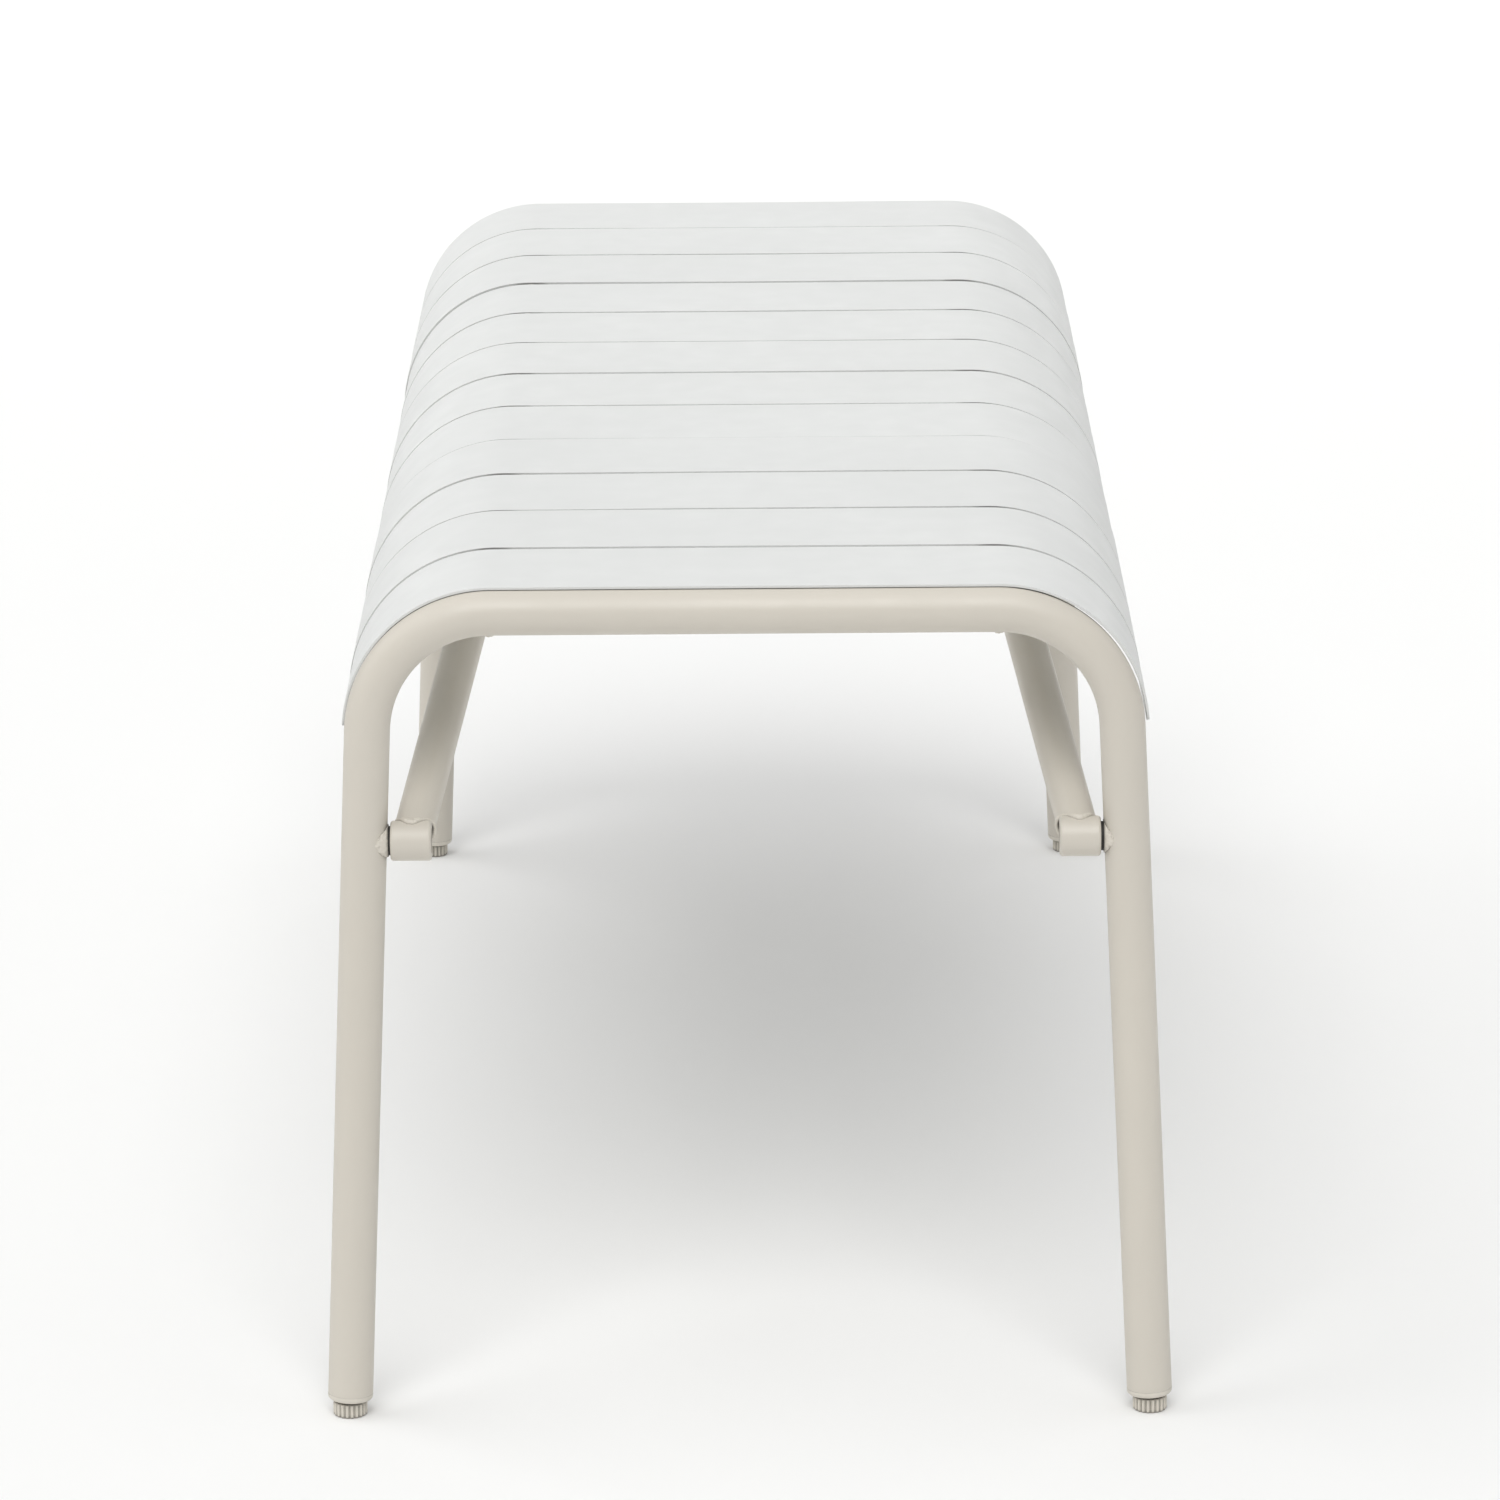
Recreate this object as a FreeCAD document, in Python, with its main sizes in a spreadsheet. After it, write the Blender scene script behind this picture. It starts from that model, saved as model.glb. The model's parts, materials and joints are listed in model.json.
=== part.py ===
import FreeCAD, Part
import math
import os

import Sketcher

from FreeCAD import Placement, Rotation, Vector

# Garden bench with a slatted seat that wraps down over both long sides. Two arched end
# frames of bent tube carry it on four legs, a sloping strut braces each leg to a rail
# under the seat, and each leg stands on a screw-out levelling foot.
#
# Millimetres. X runs across the bench, Y along it and Z up. The origin is on the floor
# at the middle of the bench. "front" is -Y, "rear" is +Y, "left" is -X, "right" is +X.

DRIVING_SIZES = {
    # the whole bench
    "seat_height": 468.0,
    "frame_spacing": 1050.0,
    "leg_splay": 2.5,
    "leg_lean": 2.5,
    # end frames: one bent tube each
    "tube_diameter": 25.0,
    "tube_wall": 2.0,
    "top_bar_half": 137.5,
    "top_bar_clearance": 0.5,
    "frame_bend": 67.5,
    "tube_end_height": 12.5,
    # seat slats: bent sheet
    "slat_count": 12,
    "slat_width": 85.0,
    "slat_gap": 3.0,
    "slat_thickness": 1.5,
    "slat_flat_half": 138.5,
    "slat_bend": 82.0,
    "slat_end_angle": 2.8,
    "slat_corner": 5.0,
    "slat_edge": 0.4,
    # rails under the slats
    "rail_offset": 138.0,
    "rail_diameter": 25.0,
    "rail_wall": 1.5,
    "rail_end_gap": 6.0,
    # struts and the sleeves at their lower ends
    "strut_diameter": 22.0,
    "strut_wall": 1.5,
    "strut_reach": 313.5,
    "sleeve_height": 327.0,
    "sleeve_diameter": 22.0,
    "sleeve_length": 22.3,
    "sleeve_edge": 1.6,
    "sleeve_bore": 8.6,
    "counterbore_diameter": 14.6,
    "counterbore_depth": 9.0,
    # bolt, washer and threaded bush that hold each sleeve to its leg
    "bolt_diameter": 8.0,
    "bolt_head_diameter": 13.0,
    "bolt_head_height": 8.0,
    "bolt_length": 25.0,
    "hex_socket": 6.0,
    "hex_depth": 4.0,
    "washer_diameter": 16.0,
    "washer_thickness": 1.6,
    "bush_diameter": 16.0,
    "bush_length": 12.0,
    "bush_standout": 0.3,
    "thread_clearance": 0.05,
    # levelling feet
    "collar_height": 3.6,
    "collar_edge": 2.6,
    "plug_diameter": 20.8,
    "plug_length": 22.0,
    "stud_diameter": 8.0,
    "stud_length": 34.0,
    "stud_chamfer": 1.0,
    "stud_floor_gap": 0.8,
    "pad_diameter": 19.0,
    "pad_height": 8.0,
    "pad_chamfer": 1.0,
    "pad_socket_diameter": 9.4,
    "pad_socket_depth": 5.0,
    "flute_count": 24,
    "flute_radius": 0.75,
}

TOP_AXIS = ("Sizes.seat_height - Sizes.slat_thickness - Sizes.top_bar_clearance"
            " - Sizes.tube_diameter / 2")
END_SIGNS = {"front": -1, "rear": 1}
SIDE_SIGNS = {"left": -1, "right": 1}
WELD_CLEARANCE = 0.15
CORNER_ANGLE = 45.0
LENGTH_TOLERANCE = 0.2
SMALLEST_CUT = 0.01
VOLUME_TOLERANCE = 0.03

doc = FreeCAD.newDocument("garden_bench")
sheet = doc.addObject("Spreadsheet::Sheet", "Sizes")
for row, (alias, value) in enumerate(DRIVING_SIZES.items(), start=1):
    sheet.set(f"A{row}", alias)
    sheet.set(f"B{row}", str(value))
    sheet.setAlias(f"B{row}", alias)
doc.recompute()

parts = []


def size(alias):
    """The value of one cell of the sheet."""
    return float(sheet.get(alias))


def ref(alias):
    """The expression that binds a property to one cell of the sheet."""
    return f"Sizes.{alias}"


# Places that follow from the driving sizes.
seat_underside = size("seat_height") - size("slat_thickness")
top_axis_height = seat_underside - size("top_bar_clearance") - size("tube_diameter") / 2
rail_axis_height = seat_underside - size("rail_diameter") / 2
splay = math.radians(size("leg_splay"))
lean = math.radians(size("leg_lean"))
bend_end_x = size("top_bar_half") + size("frame_bend") * math.cos(splay)
bend_end_drop = size("frame_bend") * (1 - math.sin(splay))


def frame_drop(height):
    """Distance down the leaning frame, from the top bar's axis to a height above the floor."""
    return (top_axis_height - height) / math.cos(lean)


def leg_x(drop):
    """Half the distance between the two leg axes of a frame, at a drop below its top bar."""
    return bend_end_x + (drop - bend_end_drop) * math.tan(splay)


tube_end_drop = frame_drop(size("tube_end_height"))
sleeve_drop = frame_drop(size("sleeve_height"))
sleeve_leg_x = leg_x(sleeve_drop)
bush_face_x = sleeve_leg_x - size("tube_diameter") / 2 / math.cos(splay) - size("bush_standout")
sleeve_outer_x = bush_face_x - size("washer_thickness")
sleeve_centre_x = sleeve_outer_x - size("sleeve_length") / 2


def frame_placement(end):
    """Puts a frame's own plane (X across, Z up, origin on the top bar's axis) in the bench."""
    sign = END_SIGNS[end]
    centre = Vector(0, sign * size("frame_spacing") / 2, top_axis_height)
    return Placement(centre, Rotation(Vector(1, 0, 0), sign * size("leg_lean")))


def across_placement(end, side, x):
    """A place at sleeve height on a frame, its local Z pointing from the bench's middle to the leg."""
    sign = SIDE_SIGNS[side]
    local = Placement(Vector(sign * x, 0, -sleeve_drop), Rotation(Vector(0, 1, 0), sign * 90))
    return frame_placement(end).multiply(local)


def leg_placement(end, side):
    """The end of a leg's tube, with local Z pointing up the leg's axis."""
    sign = SIDE_SIGNS[side]
    end_point = Vector(sign * leg_x(tube_end_drop), 0, -tube_end_drop)
    local = Placement(end_point, Rotation(Vector(0, 1, 0), -sign * size("leg_splay")))
    return frame_placement(end).multiply(local)


def new_body(label):
    body = doc.addObject("PartDesign::Body", label)
    body.Label = label
    return body


def origin_feature(body, role):
    return next(item for item in body.Origin.OriginFeatures if item.Role == role)


def new_sketch(body, name, role):
    sketch = body.newObject("Sketcher::SketchObject", name)
    sketch.AttachmentSupport = [(origin_feature(body, role), "")]
    sketch.MapMode = "FlatFace"
    return sketch


def bind(item, properties):
    """Binds properties to expressions. A length worked out above is a number, and is set as it is."""
    for name, value in properties.items():
        if isinstance(value, str):
            item.setExpression(name, value)
        else:
            setattr(item, name, value)


def constrain(sketch, *arguments):
    """Adds one geometric constraint."""
    return sketch.addConstraint(Sketcher.Constraint(*arguments))


def dimension(sketch, name, expression, *arguments):
    """Adds one named dimension to a sketch and binds it to an expression."""
    index = constrain(sketch, *arguments)
    sketch.renameConstraint(index, name)
    sketch.setExpression(f"Constraints.{name}", expression)


def circle(sketch, name, expression, radius, centre=Vector(0, 0, 0)):
    """Adds a circle whose radius is bound to an expression. At the sketch's origin it is fixed there."""
    index = sketch.addGeometry(Part.Circle(centre, Vector(0, 0, 1), radius))
    if centre.Length == 0:
        constrain(sketch, "Coincident", index, 3, -1, 1)
    dimension(sketch, name, expression, "Radius", index, radius)
    return index


def edge_names(feature, keep):
    """Names of a feature's edges that a test accepts."""
    return [f"Edge{n}" for n, edge in enumerate(feature.Shape.Edges, start=1) if keep(edge)]


def dress(body, kind, name, base, edges, expression):
    """Adds a Fillet or a Chamfer on some edges of the feature before it."""
    feature = body.newObject(f"PartDesign::{kind}", name)
    feature.Base = (base, edges)
    feature.setExpression("Radius" if kind == "Fillet" else "Size", expression)
    return feature


def pocket(body, sketch, name, depth):
    """Cuts along the sketch's normal to a depth, and checks that it took material away."""
    before = body.Shape.Volume
    feature = body.newObject("PartDesign::Pocket", name)
    feature.Profile = sketch
    feature.Reversed = True
    bind(feature, {"Length": depth})
    doc.recompute()
    if not feature.Shape.Volume < before - SMALLEST_CUT:
        raise RuntimeError(f"{name} cuts nothing")
    return feature


def keep_part(item, label, placement=None, solids=1):
    """Registers a finished sub-part under its node name."""
    item.Label = label
    if placement is not None:
        item.Placement = placement
    parts.append((item, solids))


def cylinder(name, radius, height, placement):
    item = doc.addObject("Part::Cylinder", name)
    bind(item, {"Radius": radius, "Height": height})
    item.Placement = placement
    return item


def cut(name, base, tool):
    item = doc.addObject("Part::Cut", name)
    item.Base = base
    item.Tool = tool
    return item


def ring(name, radius, bore_radius, height, placement):
    """A tube-shaped piece, such as a washer or a bush."""
    outside = cylinder(f"{name}_outside", radius, height, placement)
    inside = cylinder(f"{name}_inside", bore_radius, height, placement)
    return cut(name, outside, inside)


def group(label, items):
    item = doc.addObject("Part::Compound", label)
    item.Links = items
    keep_part(item, label, solids=len(items))


def corners():
    """Every leg of the bench, as end and side."""
    return [(end, side) for end in END_SIGNS for side in SIDE_SIGNS]


# End frames -------------------------------------------------------------------------

def add_end_frame(end):
    """One tube, bent twice, made as half a frame and mirrored."""
    label = f"end_frame_{end}"
    body = new_body(label)
    path = new_sketch(body, f"{label}_path", "XZ_Plane")
    half = size("top_bar_half")
    bend = size("frame_bend")
    bend_end = Vector(bend_end_x, -bend_end_drop, 0)
    bar = path.addGeometry(Part.LineSegment(Vector(0, 0, 0), Vector(half, 0, 0)))
    arc_circle = Part.Circle(Vector(half, -bend, 0), Vector(0, 0, 1), bend)
    arc = path.addGeometry(Part.ArcOfCircle(arc_circle, splay, math.pi / 2))
    leg = path.addGeometry(Part.LineSegment(bend_end, Vector(leg_x(tube_end_drop), -tube_end_drop, 0)))
    constrain(path, "Coincident", bar, 1, -1, 1)
    constrain(path, "Horizontal", bar)
    constrain(path, "Tangent", bar, 2, arc, 2)
    constrain(path, "Tangent", arc, 1, leg, 1)
    dimension(path, "top_bar_half", ref("top_bar_half"), "DistanceX", bar, 1, bar, 2, half)
    dimension(path, "frame_bend", ref("frame_bend"), "Radius", arc, bend)
    leg_angle = "Sizes.leg_splay * 1 deg - 90 deg"
    dimension(path, "leg_splay", leg_angle, "Angle", leg, splay - math.pi / 2)
    drop = f"({TOP_AXIS} - Sizes.tube_end_height) / cos(Sizes.leg_lean * 1 deg)"
    dimension(path, "leg_drop", drop, "DistanceY", leg, 2, -1, 1, tube_end_drop)

    section = new_sketch(body, f"{label}_section", "YZ_Plane")
    outer = size("tube_diameter") / 2
    circle(section, "outside", "Sizes.tube_diameter / 2", outer)
    circle(section, "inside", "Sizes.tube_diameter / 2 - Sizes.tube_wall", outer - size("tube_wall"))

    pipe = body.newObject("PartDesign::AdditivePipe", f"{label}_tube")
    pipe.Profile = section
    pipe.Spine = (path, ["Edge1", "Edge2", "Edge3"])
    doc.recompute()

    bush_hole = new_sketch(body, f"{label}_bush_hole", "YZ_Plane")
    radius = size("bush_diameter") / 2 + WELD_CLEARANCE
    centre = Vector(0, -sleeve_drop, 0)
    hole = circle(bush_hole, "bush", f"Sizes.bush_diameter / 2 + {WELD_CLEARANCE}", radius, centre)
    constrain(bush_hole, "PointOnObject", hole, 3, -2)
    height = f"({TOP_AXIS} - Sizes.sleeve_height) / cos(Sizes.leg_lean * 1 deg)"
    dimension(bush_hole, "sleeve_drop", height, "DistanceY", hole, 3, -1, 1, sleeve_drop)
    bush_cut = pocket(body, bush_hole, f"{label}_bush_cut", sleeve_leg_x)

    mirror = body.newObject("PartDesign::Mirrored", f"{label}_mirror")
    mirror.Originals = [pipe, bush_cut]
    mirror.MirrorPlane = (origin_feature(body, "YZ_Plane"), [""])
    body.Tip = mirror
    doc.recompute()
    keep_part(body, label, frame_placement(end))


# Seat slats -------------------------------------------------------------------------

def add_slat(number):
    """A bent strip of sheet: flat across the seat, wrapped down at both sides, corners rounded."""
    label = f"slat_{number:02d}"
    body = new_body(label)
    flat = size("slat_flat_half")
    bend = size("slat_bend")
    thick = size("slat_thickness")
    stop = math.radians(size("slat_end_angle"))
    centre = Vector(flat, -bend, 0)

    def on_arc(radius):
        return centre + Vector(math.cos(stop), math.sin(stop), 0) * radius

    sketch = new_sketch(body, f"{label}_section", "XZ_Plane")
    under = sketch.addGeometry(Part.LineSegment(Vector(0, 0, 0), Vector(flat, 0, 0)))
    inner_circle = Part.Circle(centre, Vector(0, 0, 1), bend)
    inner = sketch.addGeometry(Part.ArcOfCircle(inner_circle, stop, math.pi / 2))
    tip = sketch.addGeometry(Part.LineSegment(on_arc(bend), on_arc(bend + thick)))
    outer_circle = Part.Circle(centre, Vector(0, 0, 1), bend + thick)
    outer = sketch.addGeometry(Part.ArcOfCircle(outer_circle, stop, math.pi / 2))
    top = sketch.addGeometry(Part.LineSegment(Vector(flat, thick, 0), Vector(0, thick, 0)))
    middle = sketch.addGeometry(Part.LineSegment(Vector(0, thick, 0), Vector(0, 0, 0)))
    constrain(sketch, "Coincident", under, 1, -1, 1)
    constrain(sketch, "Horizontal", under)
    constrain(sketch, "Tangent", under, 2, inner, 2)
    constrain(sketch, "Coincident", inner, 1, tip, 1)
    constrain(sketch, "Coincident", tip, 2, outer, 1)
    constrain(sketch, "Tangent", outer, 2, top, 1)
    constrain(sketch, "Coincident", top, 2, middle, 1)
    constrain(sketch, "Coincident", middle, 2, under, 1)
    constrain(sketch, "Vertical", middle)
    constrain(sketch, "Coincident", inner, 3, outer, 3)
    constrain(sketch, "PointOnObject", inner, 3, tip)
    dimension(sketch, "flat_half", ref("slat_flat_half"), "DistanceX", under, 1, under, 2, flat)
    dimension(sketch, "bend", ref("slat_bend"), "Radius", inner, bend)
    dimension(sketch, "thickness", ref("slat_thickness"), "DistanceY", under, 1, top, 2, thick)
    dimension(sketch, "end_angle", "Sizes.slat_end_angle * 1 deg", "Angle", tip, stop)

    pad = body.newObject("PartDesign::Pad", f"{label}_strip")
    pad.Profile = sketch
    pad.SideType = "Symmetric"
    pad.setExpression("Length", ref("slat_width"))
    doc.recompute()

    def is_corner(edge):
        at_side = abs(abs(edge.CenterOfMass.y) - size("slat_width") / 2) < LENGTH_TOLERANCE
        return at_side and abs(edge.Length - thick) < LENGTH_TOLERANCE and edge.CenterOfMass.x > flat

    dress(body, "Fillet", f"{label}_corners", pad, edge_names(pad, is_corner), ref("slat_corner"))
    doc.recompute()
    mirror = body.newObject("PartDesign::Mirrored", f"{label}_mirror")
    mirror.TransformMode = "Whole shape"
    mirror.MirrorPlane = (origin_feature(body, "YZ_Plane"), [""])
    body.Tip = mirror
    doc.recompute()
    every_edge = edge_names(mirror, lambda edge: True)
    body.Tip = dress(body, "Fillet", f"{label}_edges", mirror, every_edge, ref("slat_edge"))
    pitch = size("slat_width") + size("slat_gap")
    y = (number - (size("slat_count") + 1) / 2) * pitch
    keep_part(body, label, Placement(Vector(0, y, seat_underside), Rotation()))


# Rails ------------------------------------------------------------------------------

def corner_space(name, end, side):
    """The room that an end frame's tube takes where a rail meets it: bar and bend, with clearance."""
    sign = SIDE_SIGNS[side]
    radius = f"Sizes.tube_diameter / 2 + {WELD_CLEARANCE}"
    bar_end = Placement(Vector(sign * size("top_bar_half"), 0, 0), Rotation(Vector(0, 1, 0), -sign * 90))
    bar = cylinder(f"{name}_bar", radius, "2 * Sizes.rail_diameter", frame_placement(end).multiply(bar_end))
    bend = doc.addObject("Part::Torus", f"{name}_bend")
    bind(bend, {"Radius1": ref("frame_bend"), "Radius2": radius, "Angle3": CORNER_ANGLE})
    centre = Vector(sign * size("top_bar_half"), 0, -size("frame_bend"))
    up, outward = Vector(0, 0, 1), Vector(sign, 0, 0)
    turned = Placement(centre, Rotation(up, outward, up.cross(outward), "XZY"))
    bend.Placement = frame_placement(end).multiply(turned)
    space = doc.addObject("Part::Fuse", name)
    space.Base = bar
    space.Tool = bend
    return space


def add_rail(side):
    """A round tube under the slats, its ends shaped to the frames' top bars and bends."""
    label = f"seat_rail_{side}"
    front_y = size("rail_end_gap") - size("frame_spacing") / 2
    front_end = Vector(SIDE_SIGNS[side] * size("rail_offset"), front_y, rail_axis_height)
    along_y = Placement(front_end, Rotation(Vector(1, 0, 0), -90))
    bore = "Sizes.rail_diameter / 2 - Sizes.rail_wall"
    length = "Sizes.frame_spacing - 2 * Sizes.rail_end_gap"
    rail = ring(f"{label}_tube", "Sizes.rail_diameter / 2", bore, length, along_y)
    for end in END_SIGNS:
        rail = cut(f"{label}_{end}_cope", rail, corner_space(f"{label}_{end}_space", end, side))
    keep_part(rail, label)


# Struts and sleeves -----------------------------------------------------------------

def add_strut(end, side):
    """A tube from the sleeve up to the rail, shaped to both."""
    label = f"strut_{end}_{side}"
    start = across_placement(end, side, sleeve_centre_x).Base
    finish_x = SIDE_SIGNS[side] * size("rail_offset")
    finish_y = start.y - END_SIGNS[end] * size("strut_reach")
    direction = Vector(finish_x, finish_y, rail_axis_height) - start
    placement = Placement(start, Rotation(Vector(0, 0, 1), direction))
    bore = "Sizes.strut_diameter / 2 - Sizes.strut_wall"
    tube = ring(f"{label}_tube", "Sizes.strut_diameter / 2", bore, direction.Length, placement)
    across = across_placement(end, side, sleeve_centre_x - size("sleeve_length"))
    sleeve_radius = f"Sizes.sleeve_diameter / 2 + {WELD_CLEARANCE}"
    sleeve_space = cylinder(f"{label}_sleeve_space", sleeve_radius, "2 * Sizes.sleeve_length", across)
    coped = cut(f"{label}_coped", tube, sleeve_space)
    along_y = Placement(Vector(finish_x, -size("frame_spacing") / 2, rail_axis_height),
                        Rotation(Vector(1, 0, 0), -90))
    rail_radius = f"Sizes.rail_diameter / 2 + {WELD_CLEARANCE}"
    rail_space = cylinder(f"{label}_rail_space", rail_radius, ref("frame_spacing"), along_y)
    keep_part(cut(f"{label}_trimmed", coped, rail_space), label)


def add_sleeve(end, side):
    """A short thick sleeve across the end of the strut, counterbored for the bolt's head."""
    label = f"strut_sleeve_{end}_{side}"
    body = new_body(label)
    outline = new_sketch(body, f"{label}_outline", "XY_Plane")
    circle(outline, "outside", "Sizes.sleeve_diameter / 2", size("sleeve_diameter") / 2)
    pad = body.newObject("PartDesign::Pad", f"{label}_blank")
    pad.Profile = outline
    pad.setExpression("Length", ref("sleeve_length"))
    doc.recompute()
    edges = edge_names(pad, lambda edge: len(edge.Vertexes) == 1)
    dress(body, "Fillet", f"{label}_round", pad, edges, ref("sleeve_edge"))
    doc.recompute()
    bore = new_sketch(body, f"{label}_bore", "XY_Plane")
    circle(bore, "bore", "Sizes.sleeve_bore / 2", size("sleeve_bore") / 2)
    pocket(body, bore, f"{label}_bore_cut", ref("sleeve_length"))
    counterbore = new_sketch(body, f"{label}_counterbore", "XY_Plane")
    circle(counterbore, "counterbore", "Sizes.counterbore_diameter / 2", size("counterbore_diameter") / 2)
    pocket(body, counterbore, f"{label}_counterbore_cut", ref("counterbore_depth"))
    keep_part(body, label, across_placement(end, side, sleeve_outer_x - size("sleeve_length")))


# Bolted joints ----------------------------------------------------------------------

def add_bolt(end, side):
    """A socket-head bolt whose head sits on the floor of the sleeve's counterbore."""
    name = f"bolt_{end}_{side}"
    seat_x = sleeve_outer_x - size("sleeve_length") + size("counterbore_depth")
    head_place = across_placement(end, side, seat_x - size("bolt_head_height"))
    head = cylinder(f"{name}_head", "Sizes.bolt_head_diameter / 2", ref("bolt_head_height"), head_place)
    shank_place = across_placement(end, side, seat_x)
    shank = cylinder(f"{name}_shank", "Sizes.bolt_diameter / 2", ref("bolt_length"), shank_place)
    blank = doc.addObject("Part::Fuse", f"{name}_blank")
    blank.Base = head
    blank.Tool = shank
    socket = doc.addObject("Part::Prism", f"{name}_socket")
    socket.Polygon = 6
    bind(socket, {"Circumradius": "Sizes.hex_socket / sqrt(3)", "Height": ref("hex_depth")})
    socket.Placement = head_place
    return cut(name, blank, socket)


def add_washer(end, side):
    place = across_placement(end, side, sleeve_outer_x)
    bore = "Sizes.sleeve_bore / 2"
    return ring(f"washer_{end}_{side}", "Sizes.washer_diameter / 2", bore, ref("washer_thickness"), place)


def add_bush(end, side):
    """A threaded bush welded into the inner wall of the leg, its face just proud of the tube."""
    place = across_placement(end, side, bush_face_x)
    bore = "Sizes.bolt_diameter / 2 + Sizes.thread_clearance"
    return ring(f"bush_{end}_{side}", "Sizes.bush_diameter / 2", bore, ref("bush_length"), place)


# Levelling feet ---------------------------------------------------------------------

def add_foot_insert(end, side):
    """A plug pressed into the end of the leg, with a rounded collar under the tube."""
    label = f"foot_insert_{end}_{side}"
    body = new_body(label)
    collar_outline = new_sketch(body, f"{label}_collar_outline", "XY_Plane")
    circle(collar_outline, "collar", "Sizes.tube_diameter / 2", size("tube_diameter") / 2)
    collar = body.newObject("PartDesign::Pad", f"{label}_collar")
    collar.Profile = collar_outline
    collar.Reversed = True
    collar.setExpression("Length", ref("collar_height"))
    doc.recompute()
    low_edge = edge_names(collar, lambda edge: edge.CenterOfMass.z < -size("collar_height") / 2
                          and len(edge.Vertexes) == 1)
    dress(body, "Fillet", f"{label}_collar_round", collar, low_edge, ref("collar_edge"))
    doc.recompute()
    plug_outline = new_sketch(body, f"{label}_plug_outline", "XY_Plane")
    circle(plug_outline, "plug", "Sizes.plug_diameter / 2", size("plug_diameter") / 2)
    plug = body.newObject("PartDesign::Pad", f"{label}_plug")
    plug.Profile = plug_outline
    plug.setExpression("Length", ref("plug_length"))
    doc.recompute()
    bore_radius = size("stud_diameter") / 2 + size("thread_clearance")
    thread = new_sketch(body, f"{label}_thread", "XY_Plane")
    circle(thread, "thread", "Sizes.stud_diameter / 2 + Sizes.thread_clearance", bore_radius)
    bore = body.newObject("PartDesign::Pocket", f"{label}_thread_cut")
    bore.Profile = thread
    bore.SideType = "Symmetric"
    bore.Type = "ThroughAll"
    doc.recompute()
    keep_part(body, label, leg_placement(end, side))


def add_foot_stud(end, side):
    """A threaded stud, drawn at its outside diameter, up the axis of the leg."""
    label = f"foot_stud_{end}_{side}"
    body = new_body(label)
    outline = new_sketch(body, f"{label}_outline", "XY_Plane")
    circle(outline, "thread", "Sizes.stud_diameter / 2", size("stud_diameter") / 2)
    pad = body.newObject("PartDesign::Pad", f"{label}_rod")
    pad.Profile = outline
    pad.setExpression("Length", ref("stud_length"))
    doc.recompute()
    ends = edge_names(pad, lambda edge: len(edge.Vertexes) == 1)
    dress(body, "Chamfer", f"{label}_ends", pad, ends, ref("stud_chamfer"))
    socket_floor = size("pad_height") - size("pad_socket_depth")
    low_end = frame_drop(socket_floor + size("stud_floor_gap")) - tube_end_drop
    offset = Placement(Vector(0, 0, -low_end / math.cos(splay)), Rotation())
    keep_part(body, label, leg_placement(end, side).multiply(offset))


def add_foot_pad(end, side):
    """A round pad that stands level, fluted all round for the fingers, open on top for its stud."""
    label = f"foot_pad_{end}_{side}"
    body = new_body(label)
    outline = new_sketch(body, f"{label}_outline", "XY_Plane")
    circle(outline, "outside", "Sizes.pad_diameter / 2", size("pad_diameter") / 2)
    pad = body.newObject("PartDesign::Pad", f"{label}_blank")
    pad.Profile = outline
    pad.setExpression("Length", ref("pad_height"))
    doc.recompute()
    rims = edge_names(pad, lambda edge: len(edge.Vertexes) == 1)
    dress(body, "Chamfer", f"{label}_rims", pad, rims, ref("pad_chamfer"))
    doc.recompute()
    socket = new_sketch(body, f"{label}_socket", "XY_Plane")
    circle(socket, "socket", "Sizes.pad_socket_diameter / 2", size("pad_socket_diameter") / 2)
    socket_floor = size("pad_height") - size("pad_socket_depth")
    socket.AttachmentOffset = Placement(Vector(0, 0, socket_floor), Rotation())
    pocket(body, socket, f"{label}_socket_cut", ref("pad_socket_depth"))
    flute = new_sketch(body, f"{label}_flute", "XY_Plane")
    rim_x = size("pad_diameter") / 2
    groove = circle(flute, "flute", ref("flute_radius"), size("flute_radius"), Vector(rim_x, 0, 0))
    constrain(flute, "PointOnObject", groove, 3, -1)
    dimension(flute, "rim", "Sizes.pad_diameter / 2", "DistanceX", -1, 1, groove, 3, rim_x)
    flute_cut = pocket(body, flute, f"{label}_flute_cut", ref("pad_height"))
    pattern = body.newObject("PartDesign::PolarPattern", f"{label}_flutes")
    pattern.Originals = [flute_cut]
    pattern.Axis = (origin_feature(body, "Z_Axis"), [""])
    pattern.Angle = 360
    pattern.setExpression("Occurrences", ref("flute_count"))
    body.Tip = pattern
    doc.recompute()
    socket_middle = socket_floor + size("pad_socket_depth") / 2
    x = SIDE_SIGNS[side] * leg_x(frame_drop(socket_middle))
    run_out = (top_axis_height - socket_middle) * math.tan(lean)
    y = END_SIGNS[end] * (size("frame_spacing") / 2 + run_out)
    keep_part(body, label, Placement(Vector(x, y, 0), Rotation()))


# Assembly ---------------------------------------------------------------------------

for end in END_SIGNS:
    add_end_frame(end)
for slat_number in range(1, int(size("slat_count")) + 1):
    add_slat(slat_number)
for side in SIDE_SIGNS:
    add_rail(side)
for end, side in corners():
    add_strut(end, side)
    add_sleeve(end, side)
    add_foot_insert(end, side)
    add_foot_stud(end, side)
    add_foot_pad(end, side)
group("strut_bolts", [add_bolt(end, side) for end, side in corners()])
group("strut_washers", [add_washer(end, side) for end, side in corners()])
group("leg_bushes", [add_bush(end, side) for end, side in corners()])
doc.recompute()


# Checks and output ------------------------------------------------------------------

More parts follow.
